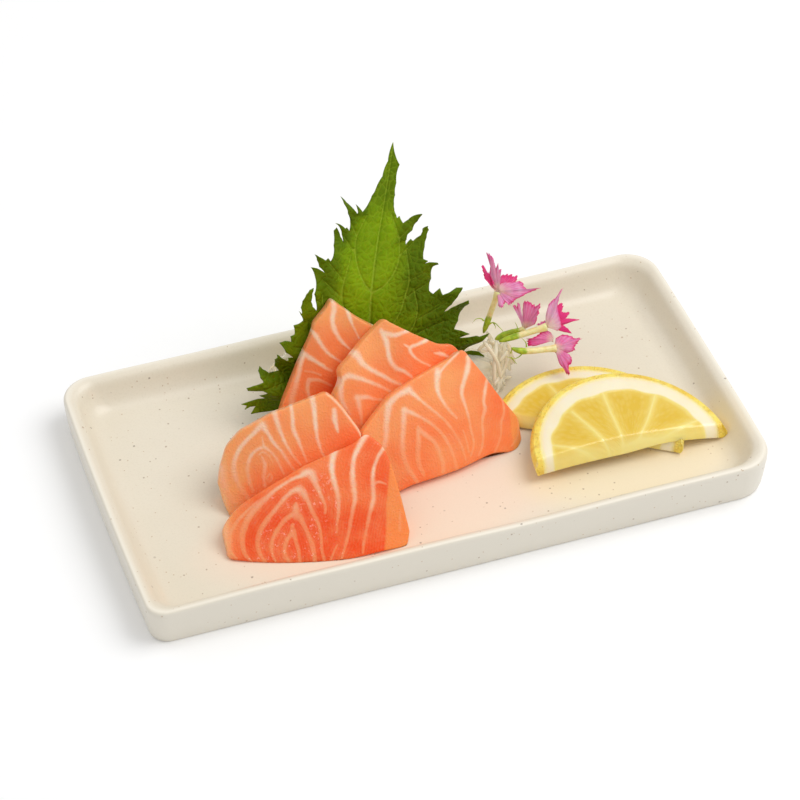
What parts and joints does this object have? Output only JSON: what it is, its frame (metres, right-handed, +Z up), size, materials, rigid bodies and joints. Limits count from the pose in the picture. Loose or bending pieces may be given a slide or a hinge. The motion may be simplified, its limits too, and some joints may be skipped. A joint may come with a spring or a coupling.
{
  "type": "sashimi plate",
  "caption": "Long cream stoneware tray of salmon sashimi slices on shredded daikon, with a shiso leaf, half slices of lemon and pink dianthus flowers.",
  "frame": {"origin": "centre of the plate's underside, at the level of its foot on the table", "axes": "+Z up, +X along the plate's length towards the lemon, +Y towards the back, where the leaf stands"},
  "size_m": [0.2018, 0.1076, 0.087],
  "materials": {
    "stoneware": "satin ivory glaze with sparse brown and grey specks",
    "salmon": "moist raw salmon, orange with pale lines of fat",
    "shiso": "fresh green leaf with pale veins, soft sheen",
    "lemon": "moist cut lemon: translucent pulp, white pith, dimpled yellow zest",
    "daikon": "moist translucent white shreds",
    "dianthus": "soft petals, pale pink outside and magenta inside, on a pale tube and green calyx"
  },
  "bodies": {
    "root": {"plate": "stoneware", "salmon_slice_1": "salmon", "salmon_slice_2": "salmon", "salmon_slice_3": "salmon", "salmon_slice_4": "salmon", "salmon_slice_5": "salmon", "shiso_leaf": "shiso", "lemon_slice_back": "lemon", "lemon_slice_front": "lemon", "flower_1": "dianthus", "flower_2": "dianthus", "flower_3": "dianthus", "flower_4": "dianthus", "daikon_shreds": "daikon"}
  },
  "joints": []
}
